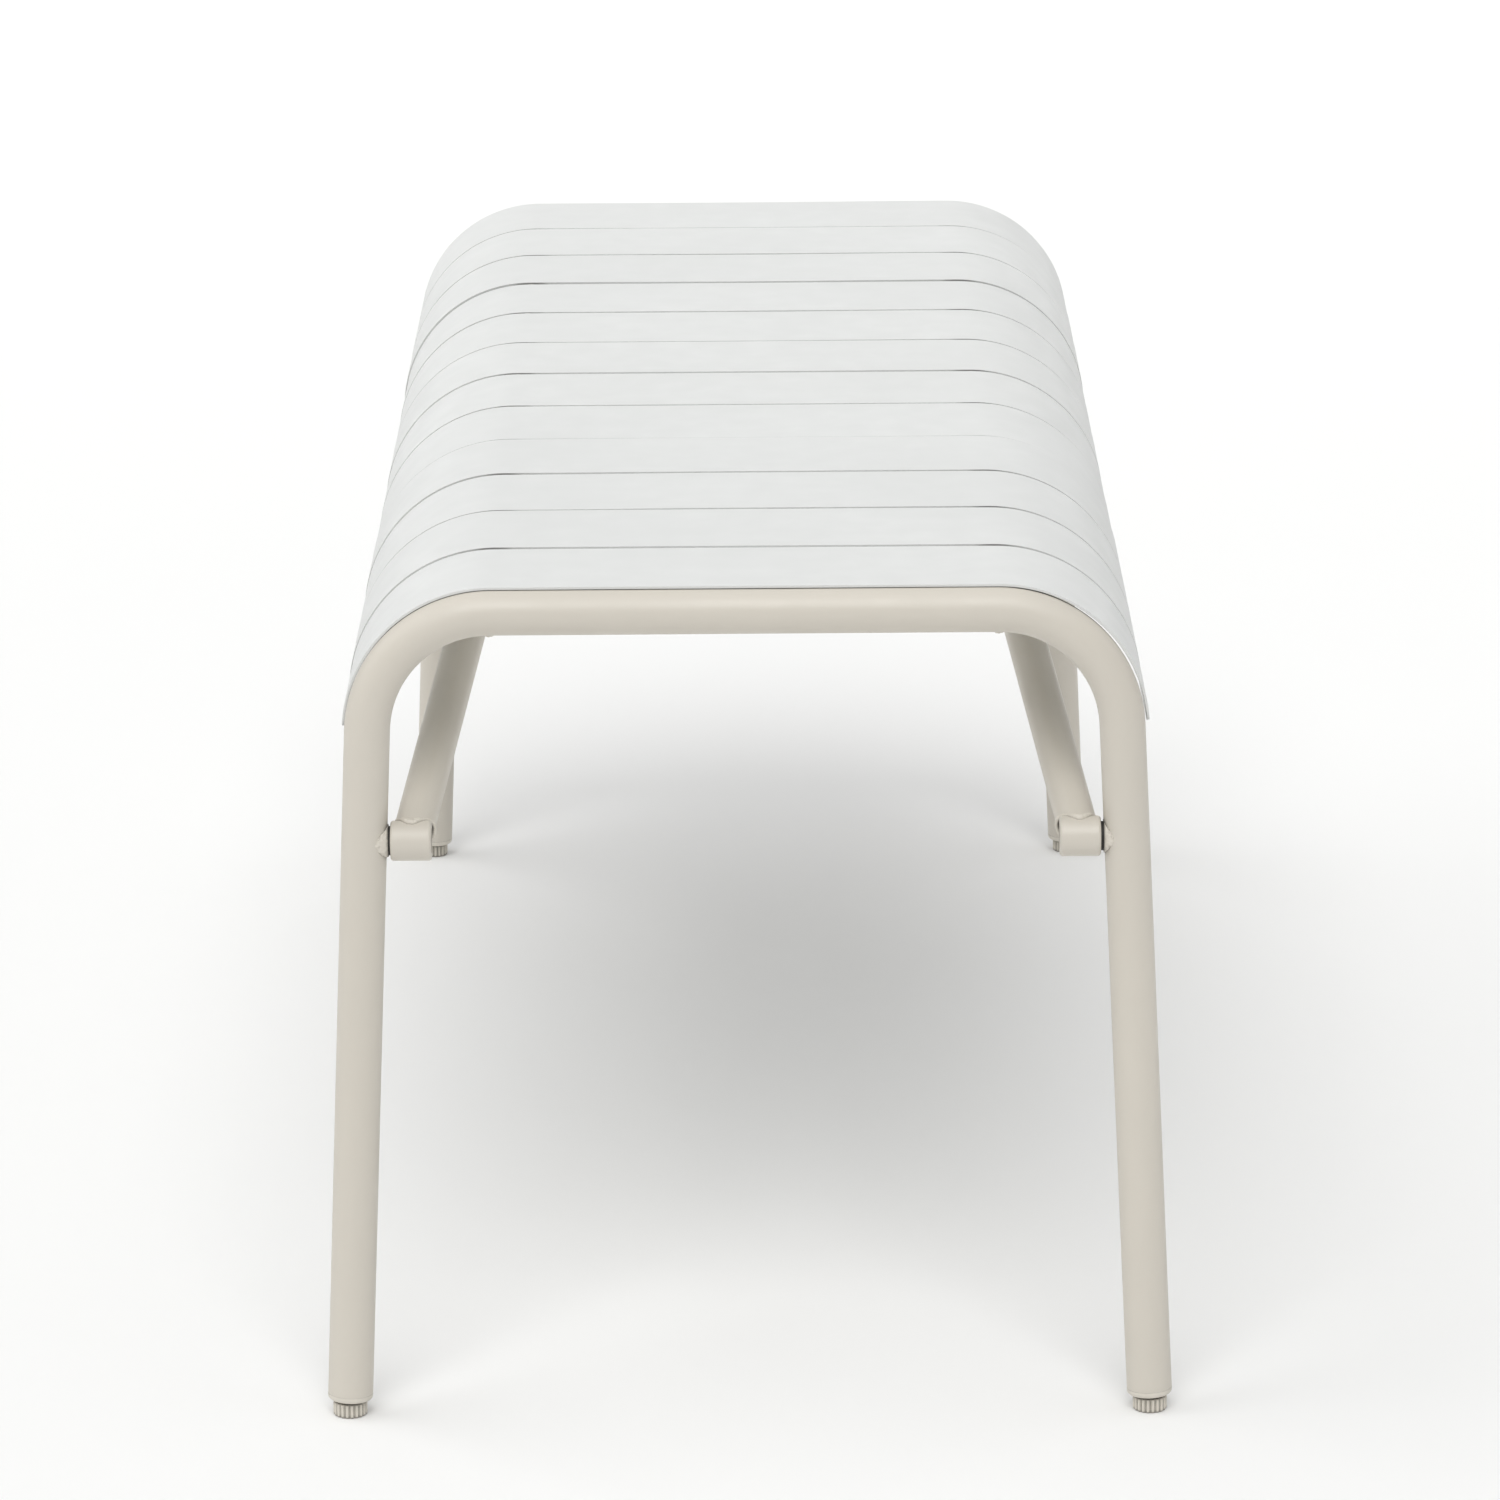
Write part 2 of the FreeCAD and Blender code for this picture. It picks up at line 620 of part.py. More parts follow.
def check_document():
    for item in doc.Objects:
        if "Invalid" in item.State or "Error" in item.State:
            raise RuntimeError(f"{item.Name} failed: {item.State}")
    for item, solids in parts:
        shape = item.Shape
        if shape.isNull() or not shape.isValid():
            raise RuntimeError(f"{item.Label} has no valid shape")
        if len(shape.Solids) != solids:
            raise RuntimeError(f"{item.Label} has {len(shape.Solids)} solids, not {solids}")


def check_tube_volume():
    """An end frame's volume is its tube's section times its length, less two bush holes."""
    outer = size("tube_diameter") / 2
    section = math.pi * (outer ** 2 - (outer - size("tube_wall")) ** 2)
    leg_length = (tube_end_drop - bend_end_drop) / math.cos(splay)
    half_length = size("top_bar_half") + size("frame_bend") * (math.pi / 2 - splay) + leg_length
    holes = 2 * math.pi * (size("bush_diameter") / 2) ** 2 * size("tube_wall")
    expected = 2 * section * half_length - holes
    for item, _ in parts:
        if item.Label.startswith("end_frame"):
            if abs(item.Shape.Volume / expected - 1) > VOLUME_TOLERANCE:
                raise RuntimeError(f"{item.Label} volume {item.Shape.Volume:.0f}, expected {expected:.0f}")


check_document()
check_tube_volume()
os.makedirs("parts", exist_ok=True)
for item, _ in parts:
    item.Shape.exportStep(f"parts/{item.Label}.step")
print(f"{len(parts)} parts written")
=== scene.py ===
import json
import math

import bmesh
import bpy
from mathutils import Matrix, Vector, noise


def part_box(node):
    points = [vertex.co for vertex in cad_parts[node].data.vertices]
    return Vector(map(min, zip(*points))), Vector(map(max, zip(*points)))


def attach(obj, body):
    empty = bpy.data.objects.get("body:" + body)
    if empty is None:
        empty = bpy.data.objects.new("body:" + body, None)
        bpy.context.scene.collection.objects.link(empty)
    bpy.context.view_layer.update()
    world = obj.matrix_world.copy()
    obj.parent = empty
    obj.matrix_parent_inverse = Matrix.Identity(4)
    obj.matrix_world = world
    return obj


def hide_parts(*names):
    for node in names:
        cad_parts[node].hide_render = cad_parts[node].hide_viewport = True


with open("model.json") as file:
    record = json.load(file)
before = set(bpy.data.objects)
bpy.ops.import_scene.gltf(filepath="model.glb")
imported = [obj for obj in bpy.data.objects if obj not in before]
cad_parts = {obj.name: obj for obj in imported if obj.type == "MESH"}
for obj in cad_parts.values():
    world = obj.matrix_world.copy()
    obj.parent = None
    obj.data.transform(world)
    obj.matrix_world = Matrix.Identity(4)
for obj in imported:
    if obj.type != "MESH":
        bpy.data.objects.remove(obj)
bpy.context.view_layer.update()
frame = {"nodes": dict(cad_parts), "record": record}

# Looks of the garden bench. Metres, in the frame's own axes: X across the bench, Y along
# it from the front end frame to the rear one, Z up, the floor at zero.

MM = 0.001
END_SIGNS = {"front": -1, "rear": 1}
SIDE_SIGNS = {"left": -1, "right": 1}
UP = Vector((0, 0, 1))

# End frames: one tube, bent twice.
TUBE_RADIUS = 12.5 * MM
TUBE_WALL = 2 * MM
TOP_BAR_HALF = 137.5 * MM
FRAME_BEND = 67.5 * MM
LEG_SPLAY = math.radians(2.5)
LEG_LEAN = math.radians(2.5)
BEND_FLATTENING = 0.02
TUBE_END_EASE = 0.15 * MM
TUBE_END_HEIGHT = 12.5 * MM

# Slats: bent sheet.
SLAT_COUNT = 12
SLAT_THICKNESS = 1.5 * MM
SLAT_EDGE = 0.15 * MM
SLAT_CORNER = 5 * MM
SLAT_FLAT_HALF = 138.5 * MM
SLAT_BEND = 82 * MM
SLAT_WRAP = math.radians(90 - 2.8)
SLAT_DRIFT = 0.25 * MM

# The seat isn't quite true: from the front slat to the rear one, how much each side is tucked
# in towards the tube, and how far the whole slat lies to the right.
SLAT_TUCK = (2.4 * MM, 0.8 * MM)
SLAT_SHIFT = (0.5 * MM, -1.5 * MM)

# The share of the tuck that shortens the flat. The rest tightens the bend.
TUCK_FLAT_SHARE = 0.4

# How far each slat lies under its full height, front to rear, in millimetres: at its left
# bend, its middle and its right bend. Neighbours that differ hide or open the gap's line.
SLAT_LIE = (
    (0.25, 0.20, 0.25),
    (0.00, 0.00, 0.05),
    (0.35, 0.00, 0.00),
    (0.15, 0.00, 0.00),
    (0.70, 0.70, 0.60),
    (0.84, 0.85, 0.84),
    (0.70, 0.70, 0.66),
    (1.00, 1.05, 0.79),
    (1.00, 1.00, 0.86),
    (0.40, 0.70, 0.39),
    (0.60, 0.65, 0.53),
    (0.90, 1.10, 0.86),
)

# Rails, struts and sleeves.
RAIL_OFFSET = 138 * MM
RAIL_RADIUS = 12.5 * MM
STRUT_RADIUS = 11 * MM
STRUT_REACH = 313.5 * MM
SLEEVE_RADIUS = 11 * MM
BUSH_RADIUS = 8 * MM

# Weld beads: radii, ripples along them and roughness all over them. The bead on top of each
# sleeve covers this many points of the joint's outline to each side of its highest one.
STRUT_BEAD = 1.25 * MM
STRUT_TOP_BEAD = 2.0 * MM
STRUT_TOP_HALF = 12
RAIL_BEAD = 1.3 * MM
TACK_BEAD = 0.9 * MM
TACK_LENGTH = 14 * MM
TACK_OFFSET = 5 * MM
TACK_DROP = 0.6 * MM
BEAD_RIPPLE = 0.10
BEAD_ROUGHNESS = 0.22
BEAD_PITCH = 1.7 * MM
BEAD_STEP = 0.5 * MM
BEAD_SIDES = 12
ROUGH_PER_METRE = 0.45 / MM

# Welds round the bushes: half the height and half the width of the foot on the leg, how far the
# rim stands out from the leg, its swell and its lumps.
BUSH_FILLET = {"left": (8.6 * MM, 10.6 * MM), "right": (8.3 * MM, 9.7 * MM)}
BUSH_FILLET_REACH = {"left": 0.9 * MM, "right": 0.3 * MM}
BUSH_FILLET_BULGE = 0.7 * MM
BUSH_FILLET_LUMPS = 1.1 * MM
LUMPS_PER_METRE = 0.7 / MM
BUSH_FILLET_STEPS = 10
BUSH_FILLET_LIP = 0.3 * MM
BUSH_FILLET_SINK = 0.4 * MM
BUSH_FILLET_DEPTH = 6 * MM
BUSH_BORE = 6.5 * MM

# Fluted feet.
PAD_FLUTES = 20
FLUTE_DEPTH = 1.3 * MM
FLUTE_STEPS = 8
FLUTE_SHARPNESS = 1.3
PAD_RIM = 1.2 * MM
PAD_SOCKET = 4.7 * MM
PAD_SOCKET_DEPTH = 5 * MM


def lerp(a, b, share):
    return a + (b - a) * share


# Places from the frame ---------------------------------------------------------------

def centre_of(node):
    low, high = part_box(node)
    return (low + high) / 2


frame_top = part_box("end_frame_rear")[1].z
top_axis = frame_top - TUBE_RADIUS
frame_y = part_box("end_frame_rear")[0].y + TUBE_RADIUS
seat_top = max(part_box(f"slat_{n:02d}")[1].z for n in range(1, SLAT_COUNT + 1))
seat_underside = seat_top - SLAT_THICKNESS
rail_axis = seat_underside - RAIL_RADIUS
bend_end_x = TOP_BAR_HALF + FRAME_BEND * math.cos(LEG_SPLAY)
bend_end_drop = FRAME_BEND * (1 - math.sin(LEG_SPLAY))


def leg_x(drop):
    """Half the distance between a frame's leg axes, at a distance down the leaning frame."""
    return bend_end_x + (drop - bend_end_drop) * math.tan(LEG_SPLAY)


def frame_point(end, x, drop):
    """A point of an end frame's own plane: x across, drop down the leaning frame."""
    sign = END_SIGNS[end]
    y = sign * (frame_y + drop * math.sin(LEG_LEAN))
    return Vector((x, y, top_axis - drop * math.cos(LEG_LEAN)))


def frame_direction(end, x, drop):
    """A direction in an end frame's own plane."""
    sign = END_SIGNS[end]
    return Vector((x, sign * drop * math.sin(LEG_LEAN), -drop * math.cos(LEG_LEAN))).normalized()


def drop_at(height):
    return (top_axis - height) / math.cos(LEG_LEAN)


# Mesh tools --------------------------------------------------------------------------

def add_loft(bm, loops, closed=False):
    """Skins a row of loops with equal counts. An open row is capped, a closed one joins up."""
    rings = [[bm.verts.new(point) for point in loop] for loop in loops]
    pairs = list(zip(rings, rings[1:]))
    if closed:
        pairs.append((rings[-1], rings[0]))
    count = len(rings[0])
    for lower, upper in pairs:
        for i in range(count):
            j = (i + 1) % count
            bm.faces.new((lower[i], lower[j], upper[j], upper[i]))
    if not closed:
        bm.faces.new(rings[0])
        bm.faces.new(list(reversed(rings[-1])))


def make_piece(bm, name, body, material, replaces=(), sharp_degrees=38):
    """Turns a bmesh into a shaded piece that rides on a body."""
    bmesh.ops.recalc_face_normals(bm, faces=bm.faces)
    mesh = bpy.data.meshes.new(name)
    bm.to_mesh(mesh)
    bm.free()
    mesh.polygons.foreach_set("use_smooth", [True] * len(mesh.polygons))
    mesh.set_sharp_from_angle(angle=math.radians(sharp_degrees))
    mesh.materials.append(material)
    piece = bpy.data.objects.new(name, mesh)
    bpy.context.scene.collection.objects.link(piece)
    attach(piece, body)
    if replaces:
        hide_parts(*replaces)
    return piece


def ring_points(centre, across, beyond, across_radius, beyond_radius, count):
    """An ellipse about a centre, in the plane of two directions."""
    turns = [2 * math.pi * i / count for i in range(count)]
    return [centre + across * (across_radius * math.cos(a)) + beyond * (beyond_radius * math.sin(a))
            for a in turns]


# Materials ---------------------------------------------------------------------------

FRAME_COLOUR = (0.641, 0.601, 0.531)
SEAT_COLOUR = (0.735, 0.745, 0.735)
# Near-black that the painted shade in gaps and corners blends towards.
PAINTED_SHADE_COLOUR = (0.05, 0.048, 0.045)

# Painted shade in narrow gaps, drawn into the colour and the shine. Openness is 1 on an open face and
# falls towards 0 in a gap;
# the painted shade starts at one openness and is full at a lower one.
CREVICE_SAMPLES = 8
CREVICE_SPECULAR = 0.03
COAT_CREVICE_REACH = 5 * MM
COAT_CREVICE_SPAN = 0.5
COAT_PAINTED_SHADE = 0.75
PLASTIC_CREVICE_REACH = 2 * MM
PLASTIC_CREVICE = (0.92, 0.40)
PLASTIC_PAINTED_SHADE = 0.65


class Surface:
    """A material under construction: its nodes, its links and its shader."""

    def __init__(self, name, roughness, specular=0.5):
        self.material = bpy.data.materials.new(name)
        self.material.use_nodes = True
        self.nodes = self.material.node_tree.nodes
        self.links = self.material.node_tree.links
        self.shader = self.nodes["Principled BSDF"]
        self.shader.inputs["Roughness"].default_value = roughness
        self.shader.inputs["Specular IOR Level"].default_value = specular
        self.place = self.nodes.new("ShaderNodeTexCoord").outputs["Object"]

    def noise(self, size, detail=2.0, roughness=0.5):
        """Noise whose blotches are about this size, in metres."""
        node = self.nodes.new("ShaderNodeTexNoise")
        node.inputs["Scale"].default_value = 1 / size
        node.inputs["Detail"].default_value = detail
        node.inputs["Roughness"].default_value = roughness
        self.links.new(self.place, node.inputs["Vector"])
        return node.outputs["Fac"]

    def remap(self, value, low, high, to_low, to_high):
        node = self.nodes.new("ShaderNodeMapRange")
        limits = {"From Min": low, "From Max": high, "To Min": to_low, "To Max": to_high}
        for name, number in limits.items():
            node.inputs[name].default_value = number
        self.links.new(value, node.inputs["Value"])
        return node.outputs["Result"]

    def math(self, operation, first, second):
        node = self.nodes.new("ShaderNodeMath")
        node.operation = operation
        for socket, value in zip(node.inputs, (first, second)):
            if isinstance(value, (int, float)):
                socket.default_value = value
            else:
                self.links.new(value, socket)
        return node.outputs["Value"]

    def mix(self, share, first, second):
        """Blends two colours, each a colour or another node's output."""
        node = self.nodes.new("ShaderNodeMix")
        node.data_type = "RGBA"
        self.links.new(share, node.inputs["Factor"])
        sockets = [socket for socket in node.inputs if socket.type == "RGBA"]
        for socket, value in zip(sockets, (first, second)):
            if isinstance(value, tuple):
                socket.default_value = (*value, 1)
            else:
                self.links.new(value, socket)
        return next(socket for socket in node.outputs if socket.type == "RGBA")

    def edges(self, radius):
        """Rises from 0 on open faces to 1 on edges, within a radius of them."""
        bevel = self.nodes.new("ShaderNodeBevel")
        bevel.samples = 6
        bevel.inputs["Radius"].default_value = radius
        plain = self.nodes.new("ShaderNodeNewGeometry")
        dot = self.nodes.new("ShaderNodeVectorMath")
        dot.operation = "DOT_PRODUCT"
        self.links.new(bevel.outputs["Normal"], dot.inputs[0])
        self.links.new(plain.outputs["Normal"], dot.inputs[1])
        return self.remap(dot.outputs["Value"], 0.995, 0.80, 0.0, 1.0)

    def crevices(self, reach, shallow, deep):
        """Rises from 0 in the open to 1 deep in gaps and corners narrower than a reach."""
        node = self.nodes.new("ShaderNodeAmbientOcclusion")
        node.samples = CREVICE_SAMPLES
        node.inputs["Distance"].default_value = reach
        return self.remap(node.outputs["AO"], shallow, deep, 0.0, 1.0)

    def paint_crevice_shade(self, colour, crevice, depth):
        """Paints shade into a colour in crevices and dims the reflections there."""
        specular = self.shader.inputs["Specular IOR Level"]
        shaded_specular = self.remap(crevice, 0, 1, specular.default_value, CREVICE_SPECULAR)
        self.links.new(shaded_specular, specular)
        return self.mix(self.math("MULTIPLY", crevice, depth), colour, PAINTED_SHADE_COLOUR)

    def specks(self, spacing, reach, share):
        """Rises to 1 in a few small round specks: spacing between cells, reach of a speck's radius."""
        cells = self.nodes.new("ShaderNodeTexVoronoi")
        cells.inputs["Scale"].default_value = 1 / spacing
        self.links.new(self.place, cells.inputs["Vector"])
        near = self.remap(cells.outputs["Distance"], 0.6 * reach / spacing, reach / spacing, 1.0, 0.0)
        split = self.nodes.new("ShaderNodeSeparateColor")
        self.links.new(cells.outputs["Color"], split.inputs["Color"])
        chosen = self.math("GREATER_THAN", split.outputs["Red"], 1 - share)
        return self.math("MULTIPLY", near, chosen)

    def bump(self, height, distance, strength, below=None):
        """Adds relief from a height field, over another relief if one is given."""
        node = self.nodes.new("ShaderNodeBump")
        node.inputs["Distance"].default_value = distance
        node.inputs["Strength"].default_value = strength
        self.links.new(height, node.inputs["Height"])
        if below is not None:
            self.links.new(below, node.inputs["Normal"])
        return node.outputs["Normal"]

    def set(self, colour=None, roughness=None, normal=None):
        for name, value in (("Base Color", colour), ("Roughness", roughness), ("Normal", normal)):
            if value is not None:
                self.links.new(value, self.shader.inputs[name])
        return self.material


def shade(colour, factor):
    return tuple(channel * factor for channel in colour)


def powder_coat(name, colour, roughness=0.42, relief=1.0, edge=1.05, shallow=0.60):
    """Fine satin powder coat: orange peel, grain, faint clouding, an edge band, painted shade in
    crevices.

    The edge factor above 1 lightens edges as rubbed wear; below 1 it darkens them with painted shade.
    Shallow is the openness at which the painted shade starts.
    """
    surface = Surface(name, roughness)
    cloud = surface.noise(140 * MM, detail=3)
    patch = surface.noise(18 * MM, detail=3)
    peel = surface.noise(1.5 * MM, detail=1)
    grain = surface.noise(0.28 * MM, detail=2, roughness=0.6)
    cloudy = surface.remap(cloud, 0.35, 0.65, 0, 1)
    clouded = surface.mix(cloudy, shade(colour, 0.975), shade(colour, 1.015))
    rubbed = surface.mix(surface.remap(patch, 0.35, 0.75, 0, 0.5), clouded, shade(colour, 0.985))
    grained = surface.mix(surface.remap(grain, 0.30, 0.70, 0, 0.30), rubbed, shade(colour, 0.93))
    # Edge band: lighter as rubbed wear where the edge factor is above 1, darker as painted shade where
    # it is below 1.
    edge_patches = surface.remap(patch, 0.30, 0.65, 0.25, 0.75)
    edge_wear_and_shade = surface.math("MULTIPLY", surface.edges(0.7 * MM), edge_patches)
    edged = surface.mix(edge_wear_and_shade, grained, shade(colour, edge))
    pits = surface.specks(30 * MM, 0.35 * MM, 0.10)
    pitted = surface.mix(surface.math("MULTIPLY", pits, 0.35), edged, shade(colour, 0.6))
    # Painted shade: darkens the colour and dims the shine in gaps and corners.
    crevice = surface.crevices(COAT_CREVICE_REACH, shallow, shallow - COAT_CREVICE_SPAN)
    crevice_shaded = surface.paint_crevice_shade(pitted, crevice, COAT_PAINTED_SHADE)
    matt = surface.remap(patch, 0.3, 0.7, roughness - 0.05, roughness + 0.06)
    rough = surface.math("SUBTRACT", matt, surface.math("MULTIPLY", edge_wear_and_shade, 0.08))
    relief_peel = surface.bump(peel, 0.05 * MM, 0.35 * relief)
    relief_grain = surface.bump(grain, 0.02 * MM, 0.45 * relief, relief_peel)
    relief_pits = surface.bump(surface.math("SUBTRACT", 1.0, pits), 0.10 * MM, 0.6, relief_grain)
    return surface.set(crevice_shaded, rough, relief_pits)


def moulded_plastic(name, colour, roughness=0.5):
    """Matt moulded plastic with a spark-eroded grain, rubbed edges and painted shade in crevices."""
    surface = Surface(name, roughness, specular=0.4)
    grain = surface.noise(0.35 * MM, detail=3, roughness=0.6)
    patch = surface.noise(7 * MM, detail=2)
    patchy = surface.remap(patch, 0.35, 0.65, 0, 1)
    tinted = surface.mix(patchy, shade(colour, 0.95), shade(colour, 1.03))
    rubbed = surface.math("MULTIPLY", surface.edges(0.4 * MM), 0.5)
    edged = surface.mix(rubbed, tinted, shade(colour, 1.15))
    # Painted shade: darkens the feet's flute grooves and the washers' corners.
    crevice = surface.crevices(PLASTIC_CREVICE_REACH, *PLASTIC_CREVICE)
    crevice_shaded = surface.paint_crevice_shade(edged, crevice, PLASTIC_PAINTED_SHADE)
    rough = surface.remap(grain, 0.3, 0.7, roughness - 0.06, roughness + 0.10)
    return surface.set(crevice_shaded, rough, surface.bump(grain, 0.03 * MM, 0.5))


def plated_steel(name, colour):
    """Zinc-plated steel with fine turning lines and a slight haze."""
    surface = Surface(name, 0.34)
    surface.shader.inputs["Metallic"].default_value = 1.0
    haze = surface.noise(3 * MM, detail=3)
    lines = surface.noise(0.18 * MM, detail=1)
    tinted = surface.mix(surface.remap(haze, 0.3, 0.7, 0, 1), shade(colour, 0.86), shade(colour, 1.05))
    rough = surface.remap(haze, 0.3, 0.7, 0.26, 0.44)
    return surface.set(tinted, rough, surface.bump(lines, 0.02 * MM, 0.35))


def pale_floor():
    surface = Surface("studio_floor", 0.9, specular=0.1)
    drift = surface.noise(1.2, detail=2)
    return surface.set(surface.mix(drift, (0.90, 0.90, 0.895), (0.92, 0.92, 0.915)))



frame_coat = powder_coat("frame_coat", FRAME_COLOUR)
# The slat coat paints shade into its edges and deep into the gaps between slats; the front slat's copy
# of it paints weaker shade in its crevices.
seat_coat = powder_coat("slat_coat", SEAT_COLOUR, edge=0.95, shallow=0.98)
front_slat_less_shaded = powder_coat("front_slat_less_shaded_coat", SEAT_COLOUR, edge=0.95, shallow=0.72)
# Weld beads: the frame colour lightened by 8 percent as a painted highlight, with painted shade
# starting early in their crevices.
weld_highlight_colour = shade(FRAME_COLOUR, 1.08)
weld_coat = powder_coat("weld_coat", weld_highlight_colour, roughness=0.5, relief=1.8, shallow=0.80)
foot_plastic = moulded_plastic("foot_moulding", (0.70, 0.66, 0.585))
washer_nylon = moulded_plastic("washer_nylon", (0.030, 0.029, 0.028), roughness=0.55)
bolt_steel = plated_steel("bolt_plating", (0.62, 0.62, 0.60))

SLOT_LOOKS = {
    "powder_coat": frame_coat,
    "seat_coat": seat_coat,
    "foot_plastic": foot_plastic,
    "washer_nylon": washer_nylon,
    "bolt_steel": bolt_steel,
}


def dress_cad_nodes():
    """Gives each node that stays its slot's finished material."""
    for entry in frame["record"]["subparts"]:
        node = frame["nodes"][entry["node"]]
        if not node.material_slots:
            node.data.materials.append(None)
        for slot in node.material_slots:
            slot.material = SLOT_LOOKS[entry["material_slot"]]


# End frames --------------------------------------------------------------------------

def frame_path(end):
    """Stations down one end frame's axis: point, direction, and share of a bend's flattening."""
    low_drop = drop_at(TUBE_END_HEIGHT)
    steps = 28
    half = []
    for x in (0.0, 0.4, 0.8, 1.0):
        half.append((frame_point(end, x * TOP_BAR_HALF, 0), frame_direction(end, 1, 0), 0))
    for i in range(1, steps + 1):
        turn = (math.pi / 2 - LEG_SPLAY) * i / steps
        x = TOP_BAR_HALF + FRAME_BEND * math.sin(turn)
        drop = FRAME_BEND * (1 - math.cos(turn))
        direction = frame_direction(end, math.cos(turn), math.sin(turn))
        half.append((frame_point(end, x, drop), direction, math.sin(math.pi * i / steps)))
    leg = frame_direction(end, math.sin(LEG_SPLAY), math.cos(LEG_SPLAY))
    for share in (0.25, 0.5, 0.75, 1.0):
        drop = lerp(bend_end_drop, low_drop, share)
        half.append((frame_point(end, leg_x(drop), drop), leg, 0))
    mirrored = []
    for point, direction, flattening in reversed(half[1:]):
        mirror_point = Vector((-point.x, point.y, point.z))
        mirror_direction = Vector((direction.x, -direction.y, -direction.z))
        mirrored.append((mirror_point, mirror_direction, flattening))
    return mirrored + half


def tube_loop(station, normal, radius, count=48):
    point, direction, flattening = station
    across = direction.cross(normal).normalized()
    flat = BEND_FLATTENING * flattening
    return ring_points(point, across, normal, radius * (1 - flat), radius * (1 + flat / 2), count)


def add_end_frame(end):
    sign = END_SIGNS[end]
    normal = Vector((0, math.cos(LEG_LEAN), sign * math.sin(LEG_LEAN)))
    path = frame_path(end)
    first_point, first_direction, _ = path[0]
    last_point, last_direction, _ = path[-1]
    eased = [(first_point + first_direction * TUBE_END_EASE, first_direction, 0)] + path[1:-1]
    eased.append((last_point - last_direction * TUBE_END_EASE, last_direction, 0))
    outer = [tube_loop(station, normal, TUBE_RADIUS) for station in eased]
    outer.insert(0, tube_loop(path[0], normal, TUBE_RADIUS - TUBE_END_EASE))
    outer.append(tube_loop(path[-1], normal, TUBE_RADIUS - TUBE_END_EASE))
    inner = [tube_loop(station, normal, TUBE_RADIUS - TUBE_WALL) for station in reversed(path)]
    bm = bmesh.new()
    add_loft(bm, outer + inner, closed=True)
    make_piece(bm, f"bent_tube_{end}", "bench", frame_coat, [f"end_frame_{end}"])


# Slats -------------------------------------------------------------------------------

def slat_section(half_width, half_thickness, edge):
    """A rounded strip's section: points across its width and through its thickness."""
    edge = min(edge, half_thickness * 0.98)
    points = []
    arc_steps = 4
    for across, up, start in ((1, 1, 0), (-1, 1, 90), (-1, -1, 180), (1, -1, 270)):
        for i in range(arc_steps + 1):
            turn = math.radians(start + 90 * i / arc_steps)
            y = across * (half_width - edge) + edge * math.cos(turn)
            z = up * (half_thickness - edge) + edge * math.sin(turn)
            points.append((y, z))
    return points


def slat_lie(number, share):
    """Depth of a slat under its full height, from its left bend (-1) to its right bend (1)."""
    left, middle, right = SLAT_LIE[number - 1]
    side = left if share < 0 else right
    weight = 0.5 - 0.5 * math.cos(math.pi * min(1.0, abs(share)))
    return lerp(middle, side, weight) * MM


def slat_stations():
    """Distances from a slat's middle to its right tip, close together in the bend and at the tip."""
    tip = SLAT_FLAT_HALF + (SLAT_BEND + SLAT_THICKNESS / 2) * SLAT_WRAP
    flat = [SLAT_FLAT_HALF * i / 12 for i in range(12)]
    bend_length = tip - SLAT_CORNER - SLAT_FLAT_HALF
    bend = [SLAT_FLAT_HALF + bend_length * i / 36 for i in range(36)]
    corner_turns = [math.radians(90 * i / 10) for i in range(10)]
    corner = [tip - SLAT_CORNER * (1 - math.sin(turn)) for turn in corner_turns]
    ease = [tip - SLAT_EDGE * share for share in (0.5, 0.2, 0.05, 0.0)]
    return sorted(set(flat + bend + corner + ease)), tip


def slat_loop(number, centre_y, half_width, along, side, tip):
    """One section of a slat, at a distance along it from its middle."""
    from_tip = tip - along
    inset = 0.0
    if from_tip < SLAT_CORNER:
        inset = SLAT_CORNER - math.sqrt(SLAT_CORNER ** 2 - (SLAT_CORNER - from_tip) ** 2)
    half_thickness = SLAT_THICKNESS / 2
    if from_tip < SLAT_EDGE:
        half_thickness -= SLAT_EDGE - math.sqrt(SLAT_EDGE ** 2 - (SLAT_EDGE - from_tip) ** 2)
    depth = slat_lie(number, side * along / SLAT_FLAT_HALF)
    wander = SLAT_DRIFT * noise.noise(Vector((side * along * 9, number * 3.7, 0.5)))
    middle = SLAT_THICKNESS / 2 - depth
    place = (number - 1) / (SLAT_COUNT - 1)
    tuck = lerp(*SLAT_TUCK, place)
    shift = lerp(*SLAT_SHIFT, place)
    points = []
    for y, up in slat_section(half_width - inset, half_thickness, SLAT_EDGE):
        if along <= SLAT_FLAT_HALF:
            x = along * (1 - TUCK_FLAT_SHARE * tuck / SLAT_FLAT_HALF)
            z = seat_underside + middle + up
        else:
            turn = (along - SLAT_FLAT_HALF) / (SLAT_BEND + SLAT_THICKNESS / 2)
            bend = SLAT_BEND - (1 - TUCK_FLAT_SHARE) * tuck
            radius = bend + middle + up
            x = SLAT_FLAT_HALF - TUCK_FLAT_SHARE * tuck + radius * math.sin(turn)
            z = seat_underside - bend + radius * math.cos(turn)
        points.append(Vector((side * x + shift, centre_y + wander + y, z)))
    return points


